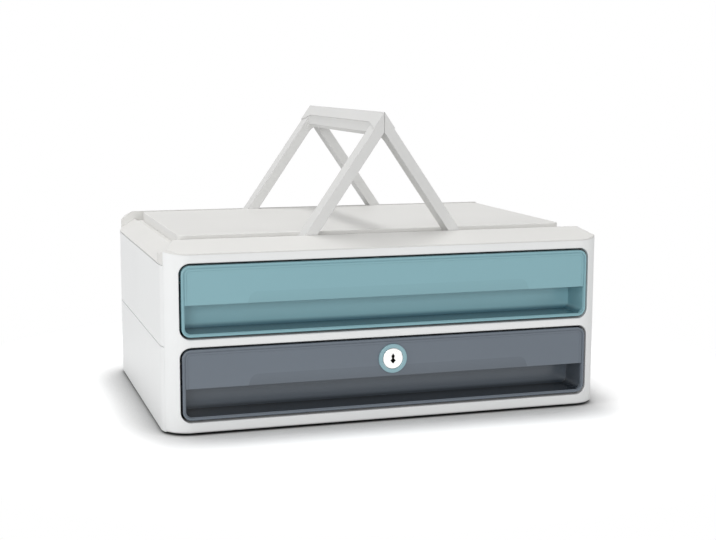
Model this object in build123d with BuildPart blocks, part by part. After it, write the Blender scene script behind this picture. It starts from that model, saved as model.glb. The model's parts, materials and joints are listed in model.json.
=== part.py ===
from build123d import *
import math
import os

# File box with two drawers, folding carrying handles and a cam lock.
# All sizes are in millimetres. X runs across the box, Y from front to back, Z up.
# The origin lies in the middle of the footprint, on the surface that the feet stand on.

# ---------------------------------------------------------------- body
body_width = 386.0
body_depth = 275.0
casing_wall = 3.0
casing_floor = 2.5
front_corner_radius = 22.0
rear_corner_radius = 23.0
seam_gap_height = 0.7       # shadow gap round the top of each casing
seam_gap_depth = 1.2
frame_depth = 12.5          # how far the front frame wraps back round the corners
frame_edge_radius = 2.0     # lower front edge of the frame
foot_height = 2.0
foot_radius = 8.0
foot_stem_radius = 3.0
foot_stem_depth = 1.5
foot_inset = 30.0           # foot centre, in from the sides, the front and the back

# ---------------------------------------------------------------- drawer openings
frame_side_margin = 13.0    # from an opening to the side of the body
opening_radius = 9.0
opening_edge_bevel = 0.6
middle_bar = 6.3            # frame height between the openings
bottom_bar = 8.5            # frame height under the lower opening
top_bar = 6.6               # frame height over the upper opening, at the front
frame_top_slope_rise = 2.4  # the frame's top face climbs this much to its rear edge
tongue_width = 30.0
tongue_depth = 9.5
tongue_thickness = 2.5
tongue_spacing = 110.0

# ---------------------------------------------------------------- top cover
cover_wall = 2.5
cover_height = 157.0        # top of the bands, over the standing surface
cover_front_lip = 1.0       # upright edge of the cover over the frame
front_fall = 8.6            # the front band slopes down this much to that edge
side_fall = 9.4             # the bands slope down this much at each end
side_fall_run = 13.0        # and do so over this width
front_band = 26.2           # front edge of the body to the front handle groove
rear_band = 12.5            # rear groove to the rear edge of the body
rear_fall = 7.7
strip_depth = 6.8           # side strips lie this far under the bands
strip_fall = 10.7           # and slope down this much to the seam
strip_fall_run = 16.0
pad_rise = 1.2              # pad over the bands
pad_side_margin = 20.6
pad_corner_radius = 6.5
pad_edge_radius = 1.0
groove_depth = 12.6         # handle grooves under the bands
groove_end_margin = 15.6

# ---------------------------------------------------------------- handles
handle_thickness = 8.7
handle_width = 18.2         # of each leg, measured along Y
handle_lean = 55.35         # angle of the legs over the horizontal, at rest
handle_pivot_x = 66.9       # pivot axis, out from the middle
pivot_depth = 4.4           # pivot axis under the bands
handle_bar_width = 18.4     # crossbar, from its outer edge to the window
handle_corner_radius = 8.0
grip_width = 10.6           # raised grip along the crossbar
grip_rise = 0.9
grip_end_width = 16.5
grip_end_run = 24.0
grip_slope_drop = 3.0       # the crossbar thins towards the window
handle_side_clearance = 0.4
handle_meeting_gap = 0.3    # between the two handles where they lean on each other
pin_radius = 2.0
pin_clearance = 0.05

# ---------------------------------------------------------------- drawers
front_gap = 1.8             # under and beside each drawer front, in its opening
front_top_gap = 2.0
front_setback = 1.6         # drawer front behind the frame's face
plate_thickness = 5.0
bead_width = 1.9
bead_groove_width = 0.8
bead_groove_depth = 0.7
panel_inset = 4.4
panel_step = 0.3
panel_thickness = 3.0
scoop_margin = 2.6          # bead left beside and under the finger scoop
panel_height = 34.2         # from the opening's top to the panel's lower edge
scoop_depth = 31.0          # behind the front frame's face
scoop_wall = 2.0
scoop_back_wall = 3.0
scoop_radius = 5.2
pocket_half_bottom = 124.0
pocket_half_top = 121.0
pocket_rise = 9.3
pocket_depth = 13.0
tray_side_gap = 10.0        # tray to the side of the opening
tray_wall = 2.0
tray_floor = 2.0
tray_lift = 0.3             # tray underside over the drawer front's underside
tray_top_gap = 3.0          # tray rim under the opening's top edge
tray_corner_radius = 8.0
tray_rear_gap = 9.0         # tray back wall to the outside of the body
ledge_clearance = 0.3
rib_reach = 6.0
rib_thickness = 2.5
rib_height = 40.0           # rib underside over the tray's underside
drawer_travel = 180.0

# ---------------------------------------------------------------- runners and drawer stops
runner_clearance = 0.3
runner_flange = 2.0
runner_web = 2.5
runner_upper_gap = 2.0      # upper flange stays this far off the tray's side
runner_drop = 14.0          # web under the rib
runner_start = 40.0         # behind the front of the body
runner_rear_gap = 37.0      # runner to the back of the body
runner_screw_inset = 25.0
runner_screw_drop = 9.0
stop_length = 6.0           # lug on the runner and tab on the tray, along Y
stop_rise = 0.5             # tab over the runner's upper flange
stop_clearance = 0.3

# ---------------------------------------------------------------- lock
lock_drop = 19.1            # lock axis under the lower opening's top
lock_ring_radius = 12.4
lock_ring_front = 0.6       # ring face behind the front frame's face
lock_cap_radius = 8.7
lock_cap_thickness = 1.6
lock_cap_gap = 0.3
lock_cap_front = 0.8
plug_radius = 6.5
plug_clearance = 0.05
housing_radius = 9.0
housing_front = 2.5
housing_tail = 2.0          # housing behind the nut
boss_radius = 13.0
boss_step = 0.5             # boss over the rear of the finger pocket
nut_thickness = 2.5
nut_across_flats = 24.0
cam_gap = 0.3
cam_thickness = 2.0
cam_length = 17.0
cam_width = 8.0
cam_hub_radius = 6.0
cam_screw_head_radius = 3.5
cam_screw_head = 2.0
cam_screw_radius = 2.0
cam_screw_length = 7.0
keyway_height = 8.8
keyway_width = 4.8          # across the lower, wider part
keyway_head = 3.0           # across the upper part
keyway_neck = 1.8
keyway_depth = 11.5
keeper_width = 24.0
keeper_plate = 1.5
keeper_length = 18.0
keeper_drop = 9.7
keeper_cam_gap = 0.4
keeper_screw_spacing = 14.0

# ---------------------------------------------------------------- screws
screw_radius = 1.5
screw_hole_clearance = 0.05
screw_head_radius = 2.75
screw_head_height = 1.8
boss_radius_small = 4.5
boss_merge = 0.8            # bosses run this far into the walls
casing_boss_front = 20.0    # behind the front of the body
cover_boss_front = 33.0
cover_boss_rear = 29.0       # in front of the back of the body
cover_boss_height = 12.0
cover_screw_reach = 3.0
casing_screw_reach = 12.0
runner_screw_reach = 2.0
front_screw_inset = 20.0     # outer screws, in from the tray's sides
front_screw_height = 14.0
front_screw_reach = 2.5

# ---------------------------------------------------------------- places worked out from the sizes
half_width = body_width / 2
opening_width = body_width - 2 * frame_side_margin
tray_half_width = opening_width / 2 - tray_side_gap
outer_screw_x = tray_half_width - front_screw_inset
front_screw_x = (-outer_screw_x, -outer_screw_x / 3, outer_screw_x / 3, outer_screw_x)
y_front = -body_depth / 2
y_rear = body_depth / 2
body_z = foot_height
bars = bottom_bar + middle_bar + top_bar
opening_height = (cover_height - cover_front_lip - front_fall - bars - body_z) / 2
opening_pitch = opening_height + middle_bar
scoop_lip = opening_height - panel_height     # over the opening's bottom
lock_height = opening_height - lock_drop
lower_opening_z = body_z + bottom_bar
upper_opening_z = lower_opening_z + opening_pitch
seam_z = lower_opening_z + opening_height
upper_opening_top = upper_opening_z + opening_height
frame_top_front = upper_opening_top + top_bar
frame_top_rear = frame_top_front + frame_top_slope_rise
cover_seam_drop = 1.9       # side seam under the upper opening's top edge
cover_seam_z = upper_opening_top - cover_seam_drop
inner_half = half_width - casing_wall
runner_length = body_depth - runner_start - runner_rear_gap
pocket_rear = front_setback + panel_thickness + pocket_depth
boss_rear = pocket_rear + scoop_wall + boss_step
housing_rear = boss_rear + nut_thickness + housing_tail
overlap = 1.0               # tools reach past the faces that they cut
touch = 0.1                 # how near a place must be to count as the same


def y_at(distance):
    """Y of a plane that lies this far behind the front of the body."""
    return y_front + distance


front_groove_y = y_at(front_band)
rear_groove_y = y_rear - rear_band
front_leg_y = front_groove_y + handle_side_clearance
rear_leg_y = rear_groove_y - handle_side_clearance - handle_width
pad_front_y = front_leg_y + handle_width + handle_side_clearance
pad_rear_y = rear_leg_y - handle_side_clearance
groove_floor_height = cover_height - groove_depth
pivot_z = cover_height - pivot_depth
strip_top_z = cover_height - strip_depth
pad_top_z = cover_height + pad_rise


# ================================================================ shared shapes
def plan_outline(inset):
    """Outline of the body seen from above, drawn in by the inset."""
    with BuildSketch() as outline:
        Rectangle(body_width - 2 * inset, body_depth - 2 * inset)
        fillet(outline.vertices().group_by(Axis.Y)[0], max(front_corner_radius - inset, overlap))
        fillet(outline.vertices().group_by(Axis.Y)[-1], rear_corner_radius - inset)
    return outline.sketch


def sloped_form(inset, top, fall, run, bottom_z):
    """Block with the body's outline and a flat top that slopes down at both ends."""
    flat_x = half_width - run
    edge_x = half_width - inset
    edge_z = top - fall / run * (edge_x - flat_x)
    with BuildPart() as shape:
        with BuildSketch(Plane.XY.offset(bottom_z)):
            add(plan_outline(inset))
        extrude(amount=top - bottom_z)
        with BuildSketch(Plane.XZ.offset(-y_front)):
            with BuildLine():
                Polyline(
                    (-edge_x, bottom_z),
                    (-edge_x, edge_z),
                    (-flat_x, top),
                    (flat_x, top),
                    (edge_x, edge_z),
                    (edge_x, bottom_z),
                    close=True,
                )
            make_face()
        extrude(amount=-body_depth, mode=Mode.INTERSECT)
    return shape.part


def band_form(inset, drop, bottom_z):
    """The cover's form at the bands, drawn in and lowered."""
    return sloped_form(inset, cover_height - drop, side_fall, side_fall_run, bottom_z)


def strip_form(inset, drop, bottom_z):
    """The cover's form at the side strips, drawn in and lowered."""
    return sloped_form(inset, strip_top_z - drop, strip_fall, strip_fall_run, bottom_z)


def band_profile(drop):
    """Sloped front and rear faces of the cover, seen from the side and cut across the box."""
    top = cover_height - drop
    front_edge_z = cover_height - front_fall - drop
    rear_edge_z = cover_height - rear_fall - drop
    with BuildPart() as profile:
        with BuildSketch(Plane.YZ):
            with BuildLine():
                Polyline(
                    (y_front, body_z),
                    (y_front, front_edge_z),
                    (front_groove_y, top),
                    (rear_groove_y, top),
                    (y_rear, rear_edge_z),
                    (y_rear, body_z),
                    close=True,
                )
            make_face()
        extrude(amount=half_width, both=True)
    return profile.part


def screw(length, head_radius=screw_head_radius, head=screw_head_height, radius=screw_radius):
    """Pan-head screw along +Z with the underside of its head at the origin."""
    with BuildPart() as fastener:
        with BuildSketch(Plane.XY.offset(-head)):
            Circle(head_radius)
        extrude(amount=head)
        fillet(fastener.edges().group_by(Axis.Z)[0], head / 3)
        with BuildSketch(Plane.XY):
            Circle(radius)
        extrude(amount=length)
        chamfer(fastener.edges().group_by(Axis.Z)[-1], radius / 3)
        with BuildSketch(Plane.XY.offset(-head)):
            Rectangle(head_radius, head / 3)
            Rectangle(head / 3, head_radius)
        extrude(amount=head / 2, mode=Mode.SUBTRACT)
    return fastener.part


def finish(piece, label):
    """Name a finished piece and write it to its own file."""
    piece.label = label
    export_step(piece, "parts/" + label + ".step")


os.makedirs("parts", exist_ok=True)

# ================================================================ feet
foot_places = [
    (side * (half_width - foot_inset), end * (body_depth / 2 - foot_inset))
    for side in (-1, 1)
    for end in (-1, 1)
]
with BuildPart() as rubber_feet:
    with BuildSketch(Plane.XY):
        with Locations(*foot_places):
            Circle(foot_radius)
    extrude(amount=foot_height)
    chamfer(rubber_feet.edges().group_by(Axis.Z)[0], foot_height / 4)
    with BuildSketch(Plane.XY.offset(foot_height)):
        with Locations(*foot_places):
            Circle(foot_stem_radius)
    extrude(amount=foot_stem_depth)
finish(rubber_feet.part, "rubber_feet")

# ================================================================ front frame
opening_levels = (lower_opening_z, upper_opening_z)
tongue_levels = (body_z + casing_floor, seam_z + casing_floor)


def on_opening_rim(place):
    """True for a place on the front rim of one of the two openings."""
    beside = abs(place.X) < opening_width / 2 + touch and place.Y < y_at(frame_depth / 2)
    heights = [place.Z - level for level in opening_levels]
    return beside and any(-touch < height < opening_height + touch for height in heights)


with BuildPart() as front_frame:
    add(band_form(0, 0, body_z))
    with BuildSketch(Plane.YZ):
        with BuildLine():
            Polyline(
                (y_front, body_z),
                (y_front, frame_top_front),
                (y_at(frame_depth), frame_top_rear),
                (y_at(frame_depth), body_z),
                close=True,
            )
        make_face()
    extrude(amount=half_width, both=True, mode=Mode.INTERSECT)
    fillet(
        front_frame.edges().group_by(Axis.Z)[0].group_by(Axis.Y)[0],
        frame_edge_radius,
    )
    for level in opening_levels:
        with BuildSketch(Plane.XZ.offset(-y_front)):
            with Locations((0, level + opening_height / 2)):
                RectangleRounded(opening_width, opening_height, opening_radius)
        extrude(amount=-frame_depth, mode=Mode.SUBTRACT)
    rim_edges = [edge for edge in front_frame.edges() if on_opening_rim(edge.center())]
    chamfer(rim_edges, opening_edge_bevel)
    for level in tongue_levels:
        with BuildSketch(Plane.XY.offset(level)):
            with Locations((0, y_at(frame_depth + tongue_depth / 2))):
                with GridLocations(tongue_spacing, 0, 3, 1):
                    Rectangle(tongue_width, tongue_depth)
        extrude(amount=tongue_thickness)
finish(front_frame.part, "front_frame")

# ================================================================ casings
boss_inset = boss_radius_small - boss_merge
casing_bosses = [
    (side * (inner_half - boss_inset), y_at(casing_boss_front)) for side in (-1, 1)
]
rear_boss_reach = rear_corner_radius - casing_wall - boss_inset
rear_boss_swing = rear_boss_reach * math.sin(math.radians(45))
casing_bosses += [
    (
        side * (half_width - rear_corner_radius + rear_boss_swing),
        y_rear - rear_corner_radius + rear_boss_swing,
    )
    for side in (-1, 1)
]
cover_bosses = [
    (side * (inner_half - boss_inset), place)
    for side in (-1, 1)
    for place in (y_at(cover_boss_front), y_rear - cover_boss_rear)
]
runner_end = runner_start + runner_length
runner_screw_places = (runner_start + runner_screw_inset, runner_end - runner_screw_inset)


def tray_bottom(opening_z):
    return opening_z + front_gap + tray_lift


def rib_bottom(opening_z):
    return tray_bottom(opening_z) + rib_height


def casing(base_z, top_z, opening_z):
    """Floor, two sides and rear wall in one shell, open at the front and on top."""
    with BuildPart() as shell:
        with BuildSketch(Plane.XY.offset(base_z)):
            add(plan_outline(0))
        extrude(amount=top_z - base_z)
        with BuildSketch(Plane.XY.offset(top_z)):
            add(plan_outline(0))
            add(plan_outline(seam_gap_depth), mode=Mode.SUBTRACT)
        extrude(amount=-seam_gap_height, mode=Mode.SUBTRACT)
        with BuildSketch(Plane.XY.offset(base_z + casing_floor)):
            add(plan_outline(casing_wall))
        extrude(amount=top_z - base_z, mode=Mode.SUBTRACT)
        with BuildSketch(Plane.XY.offset(base_z)):
            with Locations((0, y_at(frame_depth / 2))):
                Rectangle(body_width + overlap, frame_depth)
        extrude(amount=top_z - base_z, mode=Mode.SUBTRACT)
        for side in (-1, 1):
            for place in runner_screw_places:
                screw_z = rib_bottom(opening_z) - runner_screw_drop
                with BuildSketch(Plane.YZ.offset(side * inner_half)):
                    with Locations((y_at(place), screw_z)):
                        Circle(screw_radius)
                extrude(amount=side * runner_screw_reach, mode=Mode.SUBTRACT)
    return shell.part


with BuildPart() as lower_casing:
    add(casing(body_z, seam_z, lower_opening_z))
    with BuildSketch(Plane.XY.offset(body_z + casing_floor)):
        with Locations(*casing_bosses):
            Circle(boss_radius_small)
    extrude(amount=seam_z - body_z - casing_floor)
    with BuildSketch(Plane.XY.offset(seam_z)):
        with Locations(*casing_bosses):
            Circle(screw_radius)
    extrude(amount=-casing_screw_reach, mode=Mode.SUBTRACT)
    with BuildSketch(Plane.XY.offset(body_z)):
        with Locations(*foot_places):
            Circle(foot_stem_radius)
    extrude(amount=foot_stem_depth, mode=Mode.SUBTRACT)
finish(lower_casing.part, "lower_casing")

# The lock's keeper hangs from the upper casing's floor.
housing_axis_z = lower_opening_z + lock_height
cam_front_y = y_at(housing_rear + cam_gap)
keeper_front_y = cam_front_y - keeper_cam_gap - keeper_plate
keeper_screw_y = keeper_front_y + keeper_length * 2 / 3
keeper_screw_places = [
    (-keeper_screw_spacing / 2, keeper_screw_y),
    (keeper_screw_spacing / 2, keeper_screw_y),
]

with BuildPart() as upper_casing:
    add(casing(seam_z, cover_seam_z, upper_opening_z))
    with BuildSketch(Plane.XY.offset(cover_seam_z - cover_boss_height)):
        with Locations(*cover_bosses):
            Circle(boss_radius_small)
    extrude(amount=cover_boss_height)
    with BuildSketch(Plane.XY.offset(cover_seam_z)):
        with Locations(*cover_bosses):
            Circle(screw_radius + screw_hole_clearance)
    extrude(amount=-cover_boss_height, mode=Mode.SUBTRACT)
    with BuildSketch(Plane.XY.offset(seam_z)):
        with Locations(*casing_bosses):
            Circle(screw_radius + screw_hole_clearance)
        with Locations(*keeper_screw_places):
            Circle(screw_radius)
    extrude(amount=casing_floor, mode=Mode.SUBTRACT)
finish(upper_casing.part, "upper_casing")

with BuildPart() as casing_screws:
    with Locations(*[(x, y, seam_z + casing_floor) for x, y in casing_bosses]):
        add(screw(casing_screw_reach + casing_floor - overlap), rotation=(180, 0, 0))
finish(casing_screws.part, "casing_screws")

# ================================================================ top cover
groove_half_length = half_width - groove_end_margin
groove_bands = ((front_groove_y, pad_front_y), (pad_rear_y, rear_groove_y))
pad_width = body_width - 2 * pad_side_margin
pad_length = pad_rear_y - pad_front_y
pad_centre_y = (pad_rear_y + pad_front_y) / 2


def box_between(x_range, y_range, z_range):
    """Upright block between two corners."""
    with BuildPart() as block:
        with BuildSketch(Plane.XY.offset(z_range[0])):
            with Locations(((x_range[0] + x_range[1]) / 2, (y_range[0] + y_range[1]) / 2)):
                Rectangle(x_range[1] - x_range[0], y_range[1] - y_range[0])
        extrude(amount=z_range[1] - z_range[0])
    return block.part


# The recess is all that lies over the strips and in the two grooves.
with BuildPart() as cover_recess:
    add(box_between((-half_width, half_width), (front_groove_y, rear_groove_y),
                    (body_z, cover_height + overlap)))
    add(strip_form(0, 0, body_z), mode=Mode.SUBTRACT)
    for groove in groove_bands:
        add(box_between((-groove_half_length, groove_half_length), groove,
                        (groove_floor_height, strip_top_z + overlap)))

# Hollow under the front and rear bands.
with BuildPart() as band_hollow:
    add(band_form(cover_wall, cover_wall, cover_seam_z))
    add(band_profile(cover_wall), mode=Mode.INTERSECT)
    add(box_between((-half_width, half_width),
                    (front_groove_y - cover_wall, rear_groove_y + cover_wall),
                    (body_z, cover_height)), mode=Mode.SUBTRACT)

with BuildPart() as cover_cavity:
    add(strip_form(cover_wall, cover_wall, body_z))
    for groove in groove_bands:
        trough = (groove[0] - cover_wall, groove[1] + cover_wall)
        add(box_between((-groove_half_length - cover_wall, groove_half_length + cover_wall),
                        trough, (groove_floor_height - cover_wall, cover_height)),
            mode=Mode.SUBTRACT)
    pad_hollow_x = pad_width / 2 - cover_wall
    add(box_between((-pad_hollow_x, pad_hollow_x),
                    (pad_front_y + cover_wall, pad_rear_y - cover_wall),
                    (groove_floor_height, pad_top_z - cover_wall)))
    add(band_hollow.part)
    add(box_between((-half_width, half_width), (y_front, y_at(frame_depth) + cover_wall),
                    (body_z, cover_height)), mode=Mode.SUBTRACT)
    with BuildSketch(Plane.XY.offset(cover_seam_z)):
        with Locations(*cover_bosses):
            Circle(boss_radius_small)
    extrude(amount=cover_height - cover_seam_z, mode=Mode.SUBTRACT)

with BuildPart() as top_cover:
    add(band_form(0, 0, cover_seam_z))
    add(band_profile(0), mode=Mode.INTERSECT)
    with BuildSketch(Plane.YZ):
        with BuildLine():
            Polyline(
                (y_front, cover_seam_z),
                (y_front, frame_top_front),
                (y_at(frame_depth), frame_top_rear),
                (y_at(frame_depth), cover_seam_z),
                close=True,
            )
        make_face()
    extrude(amount=half_width, both=True, mode=Mode.SUBTRACT)
    add(cover_recess.part, mode=Mode.SUBTRACT)
    with BuildSketch(Plane.XY.offset(groove_floor_height)):
        with Locations((0, pad_centre_y)):
            RectangleRounded(pad_width, pad_length, pad_corner_radius)
    extrude(amount=pad_top_z - groove_floor_height)
    fillet(top_cover.edges().group_by(Axis.Z)[-1], pad_edge_radius)
    add(cover_cavity.part, mode=Mode.SUBTRACT)
    # Pilot holes in the screw bosses under the side strips.
    with BuildSketch(Plane.XY.offset(cover_seam_z)):
        with Locations(*cover_bosses):
            Circle(screw_radius)
    extrude(amount=cover_screw_reach, mode=Mode.SUBTRACT)
    # Holes for the four handle pins, through the groove walls.
    for groove in groove_bands:
        with BuildSketch(Plane.XZ.offset(-(groove[0] - cover_wall))):
            with Locations((-handle_pivot_x, pivot_z), (handle_pivot_x, pivot_z)):
                Circle(pin_radius)
        extrude(amount=-(groove[1] - groove[0] + 2 * cover_wall), mode=Mode.SUBTRACT)
finish(top_cover.part, "top_cover")

with BuildPart() as cover_screws:
    head_z = cover_seam_z - cover_boss_height
    with Locations(*[(x, y, head_z) for x, y in cover_bosses]):
        add(screw(cover_boss_height + cover_screw_reach - overlap))
finish(cover_screws.part, "cover_screws")

# ================================================================ handles
lean = math.radians(handle_lean)
mitre_x = handle_meeting_gap / 2
# The apex edge is where the grip's outer face reaches the mitre plane.
outer_offset = handle_thickness / 2 + grip_rise
apex_rise = handle_pivot_x * math.tan(lean) + outer_offset / math.cos(lean)
apex_reach = handle_pivot_x * math.cos(lean) + apex_rise * math.sin(lean)
window_reach = apex_reach - handle_bar_width


def handle_point(along, offset):
    """Place on the right handle, seen from the front: along the leg and out from its middle."""
    x = handle_pivot_x - along * math.cos(lean) + offset * math.sin(lean)
    z = pivot_z + along * math.sin(lean) + offset * math.cos(lean)
    return (x, z)


def handle():
    """Right handle: two legs, a crossbar with a raised grip, and the pivot holes."""
    half = handle_thickness / 2
    window_face = half - grip_slope_drop
    far = apex_reach + handle_thickness
    with BuildPart() as bail:
        for leg_y in (front_leg_y, rear_leg_y):
            with BuildSketch(Plane.XZ.offset(-leg_y)):
                with BuildLine():
                    Polyline(
                        handle_point(0, -half),
                        handle_point(far, -half),
                        handle_point(far, half),
                        handle_point(0, half),
                        close=True,
                    )
                make_face()
                with Locations((handle_pivot_x, pivot_z)):
                    Circle(half)
            extrude(amount=-handle_width)
        with BuildSketch(Plane.XZ.offset(-(front_leg_y + handle_width))):
            with BuildLine():
                Polyline(
                    handle_point(window_reach, -half),
                    handle_point(far, -half),
                    handle_point(far, half),
                    handle_point(apex_reach - grip_width, half),
                    handle_point(window_reach, window_face),
                    close=True,
                )
            make_face()
        extrude(amount=-(rear_leg_y - front_leg_y - handle_width))
        window_edges = [
            edge
            for edge in bail.edges().filter_by(GeomType.LINE)
            if abs(edge.tangent_at(0).Y) < 0.01
            and front_leg_y + overlap < edge.center().Y < rear_leg_y + handle_width - overlap
            and math.dist((edge.center().X, edge.center().Z),
                          handle_point(window_reach, (window_face - half) / 2)) < overlap
        ]
        fillet(window_edges, handle_corner_radius)
        # Raised grip, with its ends drawn down over the corners.
        origin = handle_point(apex_reach, half)
        grip_plane = Plane(
            origin=(origin[0], 0, origin[1]),
            x_dir=(math.cos(lean), 0, -math.sin(lean)),
            z_dir=(math.sin(lean), 0, math.cos(lean)),
        )
        y_near = front_leg_y
        y_far = rear_leg_y + handle_width
        with BuildSketch(grip_plane):
            with BuildLine():
                Polyline(
                    (-handle_thickness, y_near),
                    (grip_end_width, y_near),
                    (grip_width, y_near + grip_end_run),
                    (grip_width, y_far - grip_end_run),
                    (grip_end_width, y_far),
                    (-handle_thickness, y_far),
                    close=True,
                )
            make_face()
        extrude(amount=grip_rise)
        # Mitre plane between the two handles.
        split(bisect_by=Plane.YZ.offset(mitre_x), keep=Keep.TOP)
        with BuildSketch(Plane.XZ.offset(-(front_leg_y - overlap))):
            with Locations((handle_pivot_x, pivot_z)):
                Circle(pin_radius + pin_clearance)
        extrude(amount=-(rear_leg_y - front_leg_y + handle_width + 2 * overlap),
                mode=Mode.SUBTRACT)
    return bail.part


right_handle = handle()
finish(right_handle, "right_handle")
left_handle = right_handle.mirror(Plane.YZ)
finish(left_handle, "left_handle")

for side_name, side in (("left", -1), ("right", 1)):
    with BuildPart() as handle_pins:
        for groove in groove_bands:
            with BuildSketch(Plane.XZ.offset(-(groove[0] - cover_wall))):
                with Locations((side * handle_pivot_x, pivot_z)):
                    Circle(pin_radius)
            extrude(amount=-(groove[1] - groove[0] + 2 * cover_wall))
    finish(handle_pins.part, side_name + "_handle_pins")

# ================================================================ drawers
plate_front_y = y_at(front_setback)
plate_rear_y = plate_front_y + plate_thickness
panel_rear_y = plate_front_y + panel_thickness
scoop_back_y = y_at(scoop_depth)
scoop_shell_rear_y = scoop_back_y + scoop_back_wall
plate_width = opening_width - 2 * front_gap
plate_height = opening_height - front_gap - front_top_gap
plate_middle = front_gap + plate_height / 2   # over the opening's bottom
plate_radius = opening_radius - front_gap
scoop_half_width = plate_width / 2 - scoop_margin
lock_boss_hole = housing_radius + plug_clearance


def front_outline(inset, opening_z):
    """Rounded rectangle of the drawer front, for a sketch that faces the user."""
    with Locations((0, opening_z + plate_middle)):
        RectangleRounded(plate_width - 2 * inset, plate_height - 2 * inset,
                         max(plate_radius - inset, overlap))


def scoop_solid(opening_z, grow, start_y, end_y):
    """Block of the finger scoop; its shell is the same block grown by the wall."""
    bottom = opening_z + front_gap + scoop_margin - grow
    top = opening_z + scoop_lip + grow
    with BuildPart() as block:
        with BuildSketch(Plane.XZ.offset(-start_y)) as face:
            with Locations((0, (bottom + top) / 2)):
                Rectangle(2 * (scoop_half_width + grow), top - bottom)
            fillet(face.vertices().group_by(Axis.Y)[0], scoop_radius + grow)
        extrude(amount=start_y - end_y)
    return block.part


def pocket_solid(opening_z, grow, start_y, end_y):
    """Finger room behind the panel's lower edge, wider at the bottom."""
    bottom = opening_z + scoop_lip
    top = bottom + pocket_rise + grow
    with BuildPart() as block:
        with BuildSketch(Plane.XZ.offset(-start_y)) as face:
            with BuildLine():
                Polyline(
                    (-pocket_half_bottom - grow, bottom),
                    (-pocket_half_top - grow, top),
                    (pocket_half_top + grow, top),
                    (pocket_half_bottom + grow, bottom),
                    close=True,
                )
            make_face()
            fillet(face.vertices().group_by(Axis.Y)[-1], scoop_radius)
        extrude(amount=start_y - end_y)
    return block.part


def drawer_front(opening_z, with_lock):
    """Plate with bead and panel, finger scoop and finger pocket in one moulding."""
    pocket_rear_y = y_at(pocket_rear)
    screw_z = tray_bottom(opening_z) + front_screw_height
    with BuildPart() as front:
        with BuildSketch(Plane.XZ.offset(-plate_front_y)):
            front_outline(0, opening_z)
        extrude(amount=-plate_thickness)
        fillet(front.edges().group_by(Axis.Y)[0], bead_width / 3)
        # Thin groove inside the bead, then the slightly sunk panel.
        with BuildSketch(Plane.XZ.offset(-plate_front_y)):
            front_outline(bead_width + bead_groove_width, opening_z)
        extrude(amount=-panel_step, mode=Mode.SUBTRACT)
        with BuildSketch(Plane.XZ.offset(-plate_front_y)):
            front_outline(bead_width, opening_z)
            with Locations((0, opening_z + plate_middle)):
                RectangleRounded(
                    plate_width - 2 * (bead_width + bead_groove_width),
                    plate_height - 2 * (bead_width + bead_groove_width),
                    plate_radius - bead_width - bead_groove_width,
                    mode=Mode.SUBTRACT,
                )
        extrude(amount=-bead_groove_depth, mode=Mode.SUBTRACT)
        with BuildSketch(Plane.XZ.offset(-plate_front_y)):
            front_outline(panel_inset, opening_z)
        extrude(amount=-2 * panel_step, mode=Mode.SUBTRACT)
        add(scoop_solid(opening_z, scoop_wall, panel_rear_y, scoop_shell_rear_y))
        add(pocket_solid(opening_z, scoop_wall, panel_rear_y, pocket_rear_y + scoop_wall))
        add(pocket_solid(opening_z, 0, panel_rear_y, pocket_rear_y), mode=Mode.SUBTRACT)
        add(scoop_solid(opening_z, 0, plate_front_y - overlap, scoop_back_y),
            mode=Mode.SUBTRACT)
        with BuildSketch(Plane.XZ.offset(-scoop_shell_rear_y)):
            with Locations(*[(x, screw_z) for x in front_screw_x]):
                Circle(screw_radius)
        extrude(amount=front_screw_reach, mode=Mode.SUBTRACT)
        if with_lock:
            axis_z = opening_z + lock_height
            with BuildSketch(Plane.XZ.offset(-panel_rear_y)):
                with Locations((0, axis_z)):
                    Circle(boss_radius)
            extrude(amount=panel_rear_y - y_at(boss_rear))
            with BuildSketch(Plane.XZ.offset(-y_at(boss_rear))):
                with Locations((0, axis_z)):
                    Circle(lock_boss_hole)
            extrude(amount=boss_rear - front_setback + overlap, mode=Mode.SUBTRACT)
    return front.part


rib_end_y = y_rear - tray_rear_gap - tray_wall * 2
tab_front_y = rib_end_y - stop_length
lug_rear_y = tab_front_y - drawer_travel - stop_clearance


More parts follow.
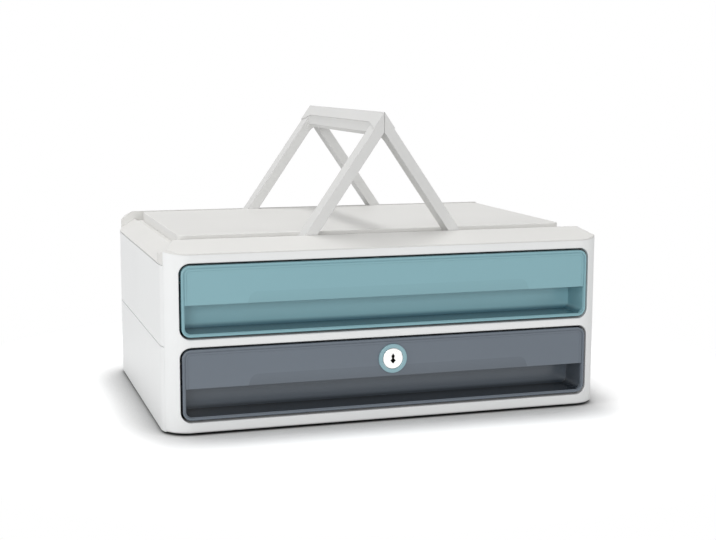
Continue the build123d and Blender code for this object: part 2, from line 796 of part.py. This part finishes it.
def drawer_tray(opening_z):
    """Open tray with a side rib and a stop tab on each side, cut away over the scoop."""
    bottom = tray_bottom(opening_z)
    top = opening_z + opening_height - tray_top_gap
    notch_top = opening_z + scoop_lip + scoop_wall + ledge_clearance
    rear_y = y_rear - tray_rear_gap
    middle_y = (plate_rear_y + rear_y) / 2
    rib_z = rib_bottom(opening_z)
    riser_rear_y = scoop_shell_rear_y + tray_wall
    with BuildPart() as tray:
        with BuildSketch(Plane.XY.offset(bottom)) as plan:
            with Locations((0, middle_y)):
                Rectangle(2 * tray_half_width, rear_y - plate_rear_y)
            fillet(plan.vertices().group_by(Axis.Y)[-1], tray_corner_radius)
        extrude(amount=top - bottom)
        # Room for papers: down to the floor behind the riser, and over the scoop.
        inner_radius = tray_corner_radius - tray_wall
        with BuildSketch(Plane.XY.offset(bottom + tray_floor)) as hollow:
            with Locations((0, (riser_rear_y + rear_y - tray_wall) / 2)):
                Rectangle(2 * (tray_half_width - tray_wall), rear_y - tray_wall - riser_rear_y)
            fillet(hollow.vertices().group_by(Axis.Y)[-1], inner_radius)
        extrude(amount=top - bottom, mode=Mode.SUBTRACT)
        add(box_between((-tray_half_width + tray_wall, tray_half_width - tray_wall),
                        (plate_rear_y, riser_rear_y), (notch_top, top)), mode=Mode.SUBTRACT)
        add(box_between((-tray_half_width, tray_half_width),
                        (plate_rear_y, scoop_shell_rear_y), (bottom, notch_top)),
            mode=Mode.SUBTRACT)
        for side in (-1, 1):
            side_x = side * tray_half_width
            rib_x = side * (tray_half_width + rib_reach)
            tab_x = side * (tray_half_width + runner_upper_gap - runner_clearance)
            add(box_between((min(side_x, rib_x), max(side_x, rib_x)),
                            (y_at(runner_start), rib_end_y), (rib_z, rib_z + rib_thickness)))
            tab_top = rib_z + rib_thickness + runner_clearance + runner_flange + stop_rise
            add(box_between((min(side_x, tab_x), max(side_x, tab_x)),
                            (tab_front_y, rib_end_y), (rib_z + rib_thickness, tab_top)))
        screw_z = bottom + front_screw_height
        with BuildSketch(Plane.XZ.offset(-riser_rear_y)):
            with Locations(*[(x, screw_z) for x in front_screw_x]):
                Circle(screw_radius + screw_hole_clearance)
        extrude(amount=tray_wall, mode=Mode.SUBTRACT)
    return tray.part


def front_screws(opening_z):
    """Four screws from inside the tray into the scoop's back wall."""
    screw_z = tray_bottom(opening_z) + front_screw_height
    head_y = scoop_shell_rear_y + tray_wall
    with BuildPart() as fasteners:
        with Locations(*[(x, head_y, screw_z) for x in front_screw_x]):
            add(screw(tray_wall + front_screw_reach), rotation=(90, 0, 0))
    return fasteners.part


def runner(opening_z, side):
    """Channel on the casing's side wall that carries one rib of the tray."""
    rib_z = rib_bottom(opening_z)
    lower_top = rib_z - runner_clearance
    upper_bottom = rib_z + rib_thickness + runner_clearance
    upper_top = upper_bottom + runner_flange
    web_x = inner_half - runner_web
    flange_x = tray_half_width + runner_clearance
    upper_x = tray_half_width + runner_upper_gap
    with BuildPart() as channel:
        with BuildSketch(Plane.XZ.offset(-y_at(runner_start))):
            with BuildLine():
                Polyline(
                    (side * inner_half, rib_z - runner_drop),
                    (side * inner_half, upper_top),
                    (side * upper_x, upper_top),
                    (side * upper_x, upper_bottom),
                    (side * web_x, upper_bottom),
                    (side * web_x, lower_top),
                    (side * flange_x, lower_top),
                    (side * flange_x, lower_top - runner_flange),
                    (side * web_x, lower_top - runner_flange),
                    (side * web_x, rib_z - runner_drop),
                    close=True,
                )
            make_face()
        extrude(amount=-runner_length)
        lug_x = sorted((side * flange_x, side * upper_x))
        add(box_between(lug_x, (lug_rear_y - stop_length, lug_rear_y),
                        (upper_bottom, upper_top)))
        for place in runner_screw_places:
            with BuildSketch(Plane.YZ.offset(side * web_x)):
                with Locations((y_at(place), rib_z - runner_screw_drop)):
                    Circle(screw_radius + screw_hole_clearance)
            extrude(amount=side * runner_web, mode=Mode.SUBTRACT)
    return channel.part


for level_name, opening_z in (("lower", lower_opening_z), ("upper", upper_opening_z)):
    with_lock = level_name == "lower"
    finish(drawer_front(opening_z, with_lock), level_name + "_drawer_front")
    finish(drawer_tray(opening_z), level_name + "_drawer_tray")
    finish(front_screws(opening_z), level_name + "_front_screws")
    for side_name, side in (("left", -1), ("right", 1)):
        finish(runner(opening_z, side), level_name + "_" + side_name + "_runner")

with BuildPart() as runner_screws:
    for opening_z in (lower_opening_z, upper_opening_z):
        screw_z = rib_bottom(opening_z) - runner_screw_drop
        for side in (-1, 1):
            head_x = side * (inner_half - runner_web)
            with Locations(*[(head_x, y_at(place), screw_z) for place in runner_screw_places]):
                add(screw(runner_web + runner_screw_reach), rotation=(0, side * 90, 0))
finish(runner_screws.part, "runner_screws")

# ================================================================ lock


def disc(radius, start, end, hole=0.0):
    """Round piece on the lock axis between two depths behind the front of the body."""
    with BuildPart() as piece:
        with BuildSketch(Plane.XZ.offset(-y_at(start))):
            with Locations((0, housing_axis_z)):
                Circle(radius)
                if hole > 0:
                    Circle(hole, mode=Mode.SUBTRACT)
        extrude(amount=start - end)
    return piece.part


ring_rear = front_setback + 2 * panel_step
ring_hole_radius = lock_cap_radius + lock_cap_gap
with BuildPart() as lock_ring:
    add(disc(lock_ring_radius, lock_ring_front, ring_rear, ring_hole_radius))
    fillet(lock_ring.edges().group_by(Axis.Y)[0], (ring_rear - lock_ring_front) / 3)
finish(lock_ring.part, "lock_ring")

plug_hole_radius = plug_radius + plug_clearance
with BuildPart() as lock_housing:
    add(disc(housing_radius, housing_front, housing_rear, plug_hole_radius))
finish(lock_housing.part, "lock_housing")

with BuildPart() as lock_plug:
    add(disc(lock_cap_radius, lock_cap_front, lock_cap_front + lock_cap_thickness))
    fillet(lock_plug.edges().group_by(Axis.Y)[0], lock_cap_thickness / 4)
    add(disc(plug_radius, lock_cap_front + lock_cap_thickness, housing_rear + cam_gap))
    with BuildSketch(Plane.XZ.offset(-y_at(lock_cap_front))):
        # The keyway has a narrow head, a neck and a wider foot.
        right_side = [
            (0, housing_axis_z + keyway_height / 2),
            (keyway_head / 2, housing_axis_z + keyway_height / 4),
            (keyway_neck / 2, housing_axis_z),
            (keyway_width / 2, housing_axis_z - keyway_height / 5),
            (0, housing_axis_z - keyway_height / 2),
        ]
        left_side = [(-x, z) for x, z in right_side[-2:0:-1]]
        with BuildLine():
            Polyline(*right_side, *left_side, close=True)
        make_face()
    extrude(amount=-keyway_depth, mode=Mode.SUBTRACT)
    with BuildSketch(Plane.XZ.offset(-y_at(housing_rear + cam_gap))):
        with Locations((0, housing_axis_z)):
            Circle(cam_screw_radius)
    extrude(amount=cam_screw_length - cam_thickness, mode=Mode.SUBTRACT)
finish(lock_plug.part, "lock_plug")

with BuildPart() as lock_nut:
    with BuildSketch(Plane.XZ.offset(-y_at(boss_rear))):
        with Locations((0, housing_axis_z)):
            RegularPolygon(nut_across_flats / 2, 6, major_radius=False)
            Circle(housing_radius + plug_clearance, mode=Mode.SUBTRACT)
    extrude(amount=-nut_thickness)
finish(lock_nut.part, "lock_nut")

with BuildPart() as lock_cam:
    with BuildSketch(Plane.XZ.offset(-cam_front_y)):
        with Locations((0, housing_axis_z)):
            Circle(cam_hub_radius)
        with Locations((cam_length / 2 - cam_width / 4, housing_axis_z)):
            Rectangle(cam_length - cam_width / 2, cam_width)
        with Locations((cam_length - cam_width / 2, housing_axis_z)):
            Circle(cam_width / 2)
        with Locations((0, housing_axis_z)):
            Circle(cam_screw_radius + screw_hole_clearance, mode=Mode.SUBTRACT)
    extrude(amount=-cam_thickness)
finish(lock_cam.part, "lock_cam")

with BuildPart() as cam_screw:
    with Locations((0, cam_front_y + cam_thickness, housing_axis_z)):
        add(screw(cam_screw_length, cam_screw_head_radius, cam_screw_head, cam_screw_radius),
            rotation=(90, 0, 0))
finish(cam_screw.part, "cam_screw")

keeper_x = (-keeper_width / 2, keeper_width / 2)
with BuildPart() as lock_keeper:
    add(box_between(keeper_x, (keeper_front_y, keeper_front_y + keeper_length),
                    (seam_z - keeper_plate, seam_z)))
    add(box_between(keeper_x, (keeper_front_y, keeper_front_y + keeper_plate),
                    (seam_z - keeper_drop, seam_z)))
    with BuildSketch(Plane.XY.offset(seam_z)):
        with Locations(*keeper_screw_places):
            Circle(screw_radius + screw_hole_clearance)
    extrude(amount=-keeper_plate, mode=Mode.SUBTRACT)
finish(lock_keeper.part, "lock_keeper")

with BuildPart() as keeper_screws:
    with Locations(*[(x, y, seam_z - keeper_plate) for x, y in keeper_screw_places]):
        add(screw(keeper_plate + casing_floor))
finish(keeper_screws.part, "keeper_screws")
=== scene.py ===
import json
import math

import bmesh
import bpy
from mathutils import Euler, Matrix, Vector

# File box with two drawers: the finish of every piece, the camera and the studio.
# All lengths are in metres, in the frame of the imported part.

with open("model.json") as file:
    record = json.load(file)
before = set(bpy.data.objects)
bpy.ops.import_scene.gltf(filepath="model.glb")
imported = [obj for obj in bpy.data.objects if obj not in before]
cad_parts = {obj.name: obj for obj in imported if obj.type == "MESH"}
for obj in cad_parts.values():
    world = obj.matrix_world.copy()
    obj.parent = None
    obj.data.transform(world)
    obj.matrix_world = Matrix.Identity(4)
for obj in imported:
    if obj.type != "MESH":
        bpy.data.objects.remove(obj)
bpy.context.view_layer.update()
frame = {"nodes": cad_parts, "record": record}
nodes = frame["nodes"]

MM = 0.001

# ---------------------------------------------------------------- camera
CAMERA_PLACE = (-0.3591, -1.1807, 0.2909)
CAMERA_TILT = 81.63         # degrees up from looking straight down
CAMERA_TURN = -17.44        # degrees about the upright axis
CAMERA_ROLL = 0.15
CAMERA_LENS = 67.36         # mm
CAMERA_SENSOR = 36.0        # mm across

# ---------------------------------------------------------------- light
SKY_LEVEL = 0.36
# Name, place, aim, power and size of each lamp.
LAMPS = (
    ("overhead", (0.06, 0.34, 2.05), (0.06, 0.34, 0.0), 16.5, (0.5, 0.95)),
    ("front fill", (-0.6, -2.4, 0.6), (0.0, 0.0, 0.1), 23.0, (1.6, 0.8)),
    ("left fill", (-2.5, -0.3, 0.8), (0.0, 0.0, 0.1), 21.0, (1.6, 0.8)),
    ("right fill", (2.2, -1.6, 0.7), (0.0, 0.0, 0.1), 7.0, (1.2, 0.8)),
)
FLOOR_SIZE = 12.0
FLOOR_SEEN = 1.50           # the floor's level as the camera sees it
FLOOR_COLOUR = 0.66         # and as the box sees it
CONTACT_SHADOW_REACH = 0.075       # how far from the box the painted contact shadow reaches
CONTACT_SHADOW_DEPTH = 1.2         # how strongly that painted shadow darkens the floor
CONTACT_SHADOW_SAMPLES = 16
FLOOR_FADE = (0.30, 0.42)   # from the middle: the floor turns into plain white

# ---------------------------------------------------------------- colours, linear
BODY_WHITE = (0.83, 0.84, 0.84)
COVER_GREY = (0.73, 0.725, 0.705)
HANDLE_WHITE = (0.66, 0.66, 0.65)
TEAL = (0.240, 0.440, 0.490)
SLATE = (0.142, 0.170, 0.205)
TRAY_TEAL = (0.20, 0.36, 0.40)
TRAY_SLATE = (0.12, 0.15, 0.18)
RING_TEAL = (0.28, 0.46, 0.51)
RUNNER_WHITE = (0.75, 0.75, 0.73)
RUBBER = (0.045, 0.045, 0.048)
ZINC = (0.62, 0.63, 0.64)
NICKEL = (0.88, 0.88, 0.87)


# ================================================================ shader maths
# Sockets that share their name with others, or have none of their own, by number.
OBJECT_OUTPUT = 3           # of Texture Coordinate
OCCLUSION_OUTPUT = 1        # of Ambient Occlusion
MIX_SHARE, MIX_FIRST, MIX_SECOND = 0, 6, 7      # of Mix, for colours
MIX_OUTPUT = 2


class Wire:
    """A socket that can be written in sums. Numbers stand for themselves."""

    def __init__(self, tree, socket):
        self.tree = tree
        self.socket = socket

    def _math(self, operation, *values):
        return self.tree.node("ShaderNodeMath", {"operation": operation}, *values)[0]

    def __add__(self, other):
        return self._math("ADD", self, other)

    def __radd__(self, other):
        return self._math("ADD", other, self)

    def __sub__(self, other):
        return self._math("SUBTRACT", self, other)

    def __rsub__(self, other):
        return self._math("SUBTRACT", other, self)

    def __mul__(self, other):
        return self._math("MULTIPLY", self, other)

    def __rmul__(self, other):
        return self._math("MULTIPLY", other, self)

    def __pow__(self, other):
        return self._math("POWER", self, other)

    def __rpow__(self, other):
        return self._math("POWER", other, self)

    def __gt__(self, other):
        return self._math("GREATER_THAN", self, other)

    def __lt__(self, other):
        return self._math("LESS_THAN", self, other)

    def size(self):
        return self._math("ABSOLUTE", self)

    def most(self, other):
        return self._math("MAXIMUM", self, other)

    def reach(self, other):
        """Length of the line whose two legs are this value and the other."""
        return self._math("SQRT", self * self + other * other)

    def smooth(self, low, high):
        """0 below low, 1 over high, and a soft step between them."""
        settings = {"interpolation_type": "SMOOTHSTEP"}
        return self.tree.node("ShaderNodeMapRange", settings, self, low, high)[0]


class Nodes:
    """Adds nodes to a tree and joins them."""

    def __init__(self, tree):
        self.tree = tree

    def node(self, kind, settings, *values, numbered=(), **named):
        """Adds one node: first its settings, then the values or links of its sockets.

        Values go to the first sockets in order, numbered ones to the socket of their number,
        and named ones to the socket of their name.
        """
        made = self.tree.nodes.new(kind)
        for key, value in settings.items():
            setattr(made, key, value)
        pairs = [*enumerate(values), *numbered, *named.items()]
        for key, value in pairs:
            self.join(made.inputs[key], value)
        return [Wire(self, out) for out in made.outputs]

    def join(self, socket, value):
        """Links a wire to a socket, or gives the socket a plain value."""
        if isinstance(value, Wire):
            self.tree.links.new(value.socket, socket)
        else:
            socket.default_value = value


class Finish(Nodes):
    """A procedural material that is built up node by node."""

    def __init__(self, name):
        self.material = bpy.data.materials.new(name)
        self.material.use_nodes = True
        super().__init__(self.material.node_tree)
        self.shader = self.tree.nodes["Principled BSDF"]
        self.place = self.node("ShaderNodeTexCoord", {})[OBJECT_OUTPUT]
        self.x, self.y, self.z = self.node("ShaderNodeSeparateXYZ", {}, self.place)

    def noise(self, scale, detail=2.0, roughness=0.5):
        """Soft random pattern from 0 to 1, fixed to the piece."""
        settings = {"noise_dimensions": "3D"}
        return self.node("ShaderNodeTexNoise", settings, Vector=self.place, Scale=scale,
                         Detail=detail, Roughness=roughness)[0]

    def mix(self, share, first, second):
        """Mixes two colours: the first where the share is 0, the second where it is 1."""
        first, second = (
            value if isinstance(value, Wire) else (*value, 1.0) for value in (first, second)
        )
        sockets = ((MIX_SHARE, share), (MIX_FIRST, first), (MIX_SECOND, second))
        return self.node("ShaderNodeMix", {"data_type": "RGBA"}, numbered=sockets)[MIX_OUTPUT]

    def set(self, **sockets):
        """Sets or links inputs of the shader, by names with _ for each space."""
        for name, value in sockets.items():
            socket = self.shader.inputs[name.replace("_", " ")]
            if isinstance(value, tuple):
                value = (*value, 1.0)
            self.join(socket, value)

    def grain(self, pattern, height, rounding=0.0):
        """Surface texture of this height, over edges that are rounded by this much."""
        edges = {}
        if rounding > 0:
            edges["Normal"] = self.node("ShaderNodeBevel", {"samples": BEVEL_SAMPLES}, rounding)[0]
        bumped = self.node("ShaderNodeBump", {}, Strength=1.0, Distance=height,
                           Height=pattern, **edges)[0]
        self.set(Normal=bumped)


def shade(colour, factor):
    """A colour made lighter or darker."""
    return tuple(min(1.0, channel * factor) for channel in colour)


def shades(colour, factors):
    """The darker and the paler shade of a colour."""
    return [shade(colour, factor) for factor in factors]


# ================================================================ finishes
# Places on the drawer fronts and the lock, from the part's source.
LOWER_OPENING = 10.5 * MM
UPPER_OPENING = 78.8 * MM
BEAD_BACK = -135.2 * MM
PANEL_BACK = -132.95 * MM   # a hair in front of the panel's back
SCOOP_FLOOR = 4.4 * MM      # over the opening's bottom
SCOOP_LIP = 27.8 * MM
SCOOP_FLOOR_SHADE_BLEND = (0.4 * MM, 4.5 * MM)    # over that floor: the floor's painted shade fades out up the back wall here
WALL_FOOT_SHADE = 0.9             # share of the back wall's colour at its foot: painted shade
# Dark painted shade on the scoop floors.
SCOOP_FLOOR_SHADE_TEAL = (0.060, 0.150, 0.190)
SCOOP_FLOOR_SHADE_SLATE = (0.022, 0.030, 0.040)
POCKET_FOOT = 124.0 * MM    # from the middle to each side, at the bottom
POCKET_RISE = 9.3 * MM
POCKET_DRAW = 3.0 * MM      # how far each side draws in over that rise
POCKET_CORNER = 5.0 * MM
POCKET_DEEPENING = 0.45     # how much weaker the pocket shows at its top
BLUR = 0.35 * MM
LOCK_Z = 53.4 * MM
KEYWAY_FRONT = -136.5 * MM
KEYWAY_REACH = 5.0 * MM
# Painted shade inside the keyway.
KEYWAY_PAINTED_SHADE = (0.004, 0.004, 0.004)
KEYWAY_ROUGHNESS = 0.5      # added to the plated face's

# Textures. Each scale is in waves per metre, about.
EDGE_ROUNDING = 0.5 * MM
BEVEL_SAMPLES = 6           # rays that look for edges near each point
GRAIN_PITCH = 0.45 * MM     # moulded texture on the white and grey pieces
GRAIN_HEIGHT = 0.012 * MM
GRAIN_ROUGHNESS = 0.6
GLOSS_HEIGHT = 0.002 * MM   # waviness of glossy pieces
CLOUD_SCALE, CLOUD_DETAIL = 9.0, 3.0
CLOUD_RANGE = (0.3, 0.7)
CLOUD_SHADES = (0.985, 1.012)
CLOUD_GLOSS, GRAIN_GLOSS = 0.06, 0.04       # share of clouds and of grain in the roughness
FRONT_CLOUD_SCALE = 14.0
FRONT_SHADES = (0.985, 1.015)
FRONT_ROUGHNESS, FRONT_CLOUD_GLOSS = 0.2, 0.05
DRAG_SCALE = 900.0          # fine marks in plated metal
DRAG_HEIGHT = 0.004 * MM
DRAG_GLOSS = 0.08
METAL_CLOUD_SCALE = 160.0
METAL_SHADES = (0.94, 1.0)


def moulded(name, colour, roughness, grain_height=GRAIN_HEIGHT):
    """Moulded plastic: fine grain, slight clouding of colour and gloss, rounded edges."""
    finish = Finish(name)
    clouds = finish.noise(CLOUD_SCALE, CLOUD_DETAIL)
    fine = finish.noise(1.0 / GRAIN_PITCH, roughness=GRAIN_ROUGHNESS)
    finish.set(
        Base_Color=finish.mix(clouds.smooth(*CLOUD_RANGE), *shades(colour, CLOUD_SHADES)),
        Roughness=roughness - CLOUD_GLOSS / 2 + clouds * CLOUD_GLOSS + fine * GRAIN_GLOSS,
    )
    finish.grain(fine, grain_height, rounding=EDGE_ROUNDING)
    return finish.material


def drawer_front(name, colour, opening_z, pocket_factor, wall_painted_light, floor_shade_colour):
    """Tinted gloss plastic: the pocket shows faintly through the panel, and the scoop's back wall
    and floor get painted light and shade.
    """
    finish = Finish(name)
    clouds = finish.noise(FRONT_CLOUD_SCALE)
    plain = finish.mix(clouds, *shades(colour, FRONT_SHADES))
    lip_z = opening_z + SCOOP_LIP
    floor_z = opening_z + SCOOP_FLOOR
    # The pocket is wider at the bottom and has round upper corners.
    lean = POCKET_DRAW / POCKET_RISE
    half_width = POCKET_FOOT - (finish.z - lip_z) * lean - POCKET_CORNER
    beyond_x = (finish.x.size() - half_width).most(0.0)
    beyond_z = (finish.z - (lip_z + POCKET_RISE - POCKET_CORNER)).most(0.0)
    in_pocket = 1.0 - beyond_x.reach(beyond_z).smooth(POCKET_CORNER - BLUR, POCKET_CORNER + BLUR)
    on_panel = (finish.y < PANEL_BACK) * (finish.z > lip_z)
    deepening = 1.0 - (finish.z - lip_z).smooth(0.0, POCKET_RISE)
    strength = 1.0 - POCKET_DEEPENING + deepening * POCKET_DEEPENING
    through = in_pocket * on_panel * strength
    panel = finish.mix(through, plain, shade(colour, pocket_factor))
    # Inside the scoop the back wall gets a painted level of light of its own, paler than the panel
    # on teal and darker on slate, with painted shade deepening towards its foot; the floor gets
    # dark painted shade.
    inside = finish.y > PANEL_BACK
    rise = (finish.z - floor_z).smooth(0.0, SCOOP_LIP - SCOOP_FLOOR)
    painted_wall_colour = shade(colour, wall_painted_light)
    wall = finish.mix(rise, shade(painted_wall_colour, WALL_FOOT_SHADE), painted_wall_colour)
    walled = finish.mix(inside, panel, wall)
    floor_shade_mask = inside * (1.0 - (finish.z - floor_z).smooth(*SCOOP_FLOOR_SHADE_BLEND))
    # The strip of floor in front, between bead and panel, gets the same dark painted shade.
    lip_strip_shade_mask = (finish.y < PANEL_BACK) * (finish.y > BEAD_BACK) * (finish.z < floor_z + BLUR)
    finish.set(
        Base_Color=finish.mix(floor_shade_mask.most(lip_strip_shade_mask), walled, floor_shade_colour),
        Roughness=FRONT_ROUGHNESS + clouds * FRONT_CLOUD_GLOSS,
    )
    finish.grain(clouds, GLOSS_HEIGHT, rounding=EDGE_ROUNDING)
    return finish.material


def cylinder_lock(name, colour, roughness):
    """Nickel plate, and black painted shade inside the keyway."""
    finish = Finish(name)
    drag = finish.noise(DRAG_SCALE)
    in_keyway_shade = (finish.y > KEYWAY_FRONT) * (finish.x.reach(finish.z - LOCK_Z) < KEYWAY_REACH)
    finish.set(
        Base_Color=finish.mix(in_keyway_shade, colour, KEYWAY_PAINTED_SHADE),
        Metallic=1.0 - in_keyway_shade,
        Roughness=roughness + drag * DRAG_GLOSS + in_keyway_shade * KEYWAY_ROUGHNESS,
    )
    finish.grain(drag, DRAG_HEIGHT)
    return finish.material


def metal(name, colour, roughness):
    """Plated metal with a faint drag in its gloss."""
    finish = Finish(name)
    drag = finish.noise(DRAG_SCALE)
    clouds = finish.noise(METAL_CLOUD_SCALE)
    finish.set(
        Base_Color=finish.mix(clouds, *shades(colour, METAL_SHADES)),
        Metallic=1.0,
        Roughness=roughness + drag * DRAG_GLOSS,
    )
    finish.grain(drag, DRAG_HEIGHT)
    return finish.material


FINISHES = {
    "body_white": moulded("body white", BODY_WHITE, roughness=0.42),
    "cover_white": moulded("cover grey", COVER_GREY, roughness=0.5),
    "handle_white": moulded("handle white", HANDLE_WHITE, roughness=0.42),
    "front_teal": drawer_front(
        "front teal", TEAL, UPPER_OPENING,
        pocket_factor=0.92, wall_painted_light=1.12, floor_shade_colour=SCOOP_FLOOR_SHADE_TEAL,
    ),
    "front_slate": drawer_front(
        "front slate", SLATE, LOWER_OPENING,
        pocket_factor=0.82, wall_painted_light=0.72, floor_shade_colour=SCOOP_FLOOR_SHADE_SLATE,
    ),
    "tray_teal": moulded("tray teal", TRAY_TEAL, roughness=0.4),
    "tray_slate": moulded("tray slate", TRAY_SLATE, roughness=0.4),
    "runner_plastic": moulded("runner plastic", RUNNER_WHITE, roughness=0.35),
    "foot_rubber": moulded("foot rubber", RUBBER, roughness=0.75),
    "ring_teal": moulded("ring teal", RING_TEAL, roughness=0.25, grain_height=GLOSS_HEIGHT),
    "lock_chrome": cylinder_lock("lock nickel", NICKEL, roughness=0.2),
    "zinc": metal("zinc plate", ZINC, roughness=0.32),
}
for entry in frame["record"]["subparts"]:
    mesh = nodes[entry["node"]].data
    mesh.materials.clear()
    mesh.materials.append(FINISHES[entry["material_slot"]])


# ================================================================ studio
def area_light(name, place, aim, power, size):
    """Rectangular soft light that faces a place."""
    lamp = bpy.data.lights.new(name, "AREA")
    lamp.energy = power
    lamp.shape = "RECTANGLE"
    lamp.size, lamp.size_y = size
    item = bpy.data.objects.new(name, lamp)
    item.location = place
    item.rotation_mode = "QUATERNION"
    item.rotation_quaternion = (Vector(aim) - Vector(place)).to_track_quat("-Z", "Y")
    bpy.context.scene.collection.objects.link(item)


def seen_directly(finish):
    """1 for what the camera sees itself, in a mirror or through glass."""
    path = {wire.socket.name: wire for wire in finish.node("ShaderNodeLightPath", {})}
    return path["Is Camera Ray"].most(path["Is Glossy Ray"]).most(path["Is Transmission Ray"])


def floor():
    """Plain pale floor that keeps the shadow of the box, gets a painted contact shadow near it and
    turns white around it.
    """
    shape = bmesh.new()
    bmesh.ops.create_grid(shape, x_segments=1, y_segments=1, size=FLOOR_SIZE / 2)
    mesh = bpy.data.meshes.new("floor")
    shape.to_mesh(mesh)
    shape.free()
    item = bpy.data.objects.new("floor", mesh)
    bpy.context.scene.collection.objects.link(item)
    finish = Finish("floor")
    seen = seen_directly(finish)
    level = FLOOR_COLOUR + seen * (FLOOR_SEEN - FLOOR_COLOUR)
    # Ambient occlusion darkens the floor's colour near the box: a painted contact shadow.
    painted_contact_shadow = finish.node("ShaderNodeAmbientOcclusion", {"samples": CONTACT_SHADOW_SAMPLES},
                          Distance=CONTACT_SHADOW_REACH)[OCCLUSION_OUTPUT]
    level = level * painted_contact_shadow ** CONTACT_SHADOW_DEPTH
    grey = finish.node("ShaderNodeCombineColor", {}, level, level, level)[0]
    diffuse = finish.node("ShaderNodeBsdfDiffuse", {}, Color=grey)[0]
    white = finish.node("ShaderNodeEmission", {})[0]
    away = finish.x.reach(finish.y).smooth(*FLOOR_FADE) * seen
    blend = finish.node("ShaderNodeMixShader", {}, away, diffuse, white)[0]
    finish.join(finish.tree.nodes["Material Output"].inputs["Surface"], blend)
    mesh.materials.append(finish.material)


def sky():
    """White all round: the light's level on the box, and plain white where it is seen."""
    world = bpy.data.worlds.new("studio")
    bpy.context.scene.world = world
    world.use_nodes = True
    studio = Nodes(world.node_tree)
    level = SKY_LEVEL + seen_directly(studio) * (1.0 - SKY_LEVEL)
    background = studio.tree.nodes["Background"]
    background.inputs["Color"].default_value = (1.0, 1.0, 1.0, 1.0)
    studio.join(background.inputs["Strength"], level)


def camera():
    """Stands where the photo was taken from."""
    data = bpy.data.cameras.new("camera")
    data.lens = CAMERA_LENS
    data.sensor_width = CAMERA_SENSOR
    item = bpy.data.objects.new("camera", data)
    item.location = CAMERA_PLACE
    turn = Euler((math.radians(CAMERA_TILT), 0.0, math.radians(CAMERA_TURN)), "XYZ").to_matrix()
    roll = Euler((0.0, 0.0, math.radians(CAMERA_ROLL)), "XYZ").to_matrix()
    item.rotation_mode = "QUATERNION"
    item.rotation_quaternion = (turn @ roll).to_quaternion()
    bpy.context.scene.collection.objects.link(item)
    bpy.context.scene.camera = item


floor()
sky()
for lamp_row in LAMPS:
    area_light(*lamp_row)
camera()
bpy.context.scene.view_settings.view_transform = "Standard"
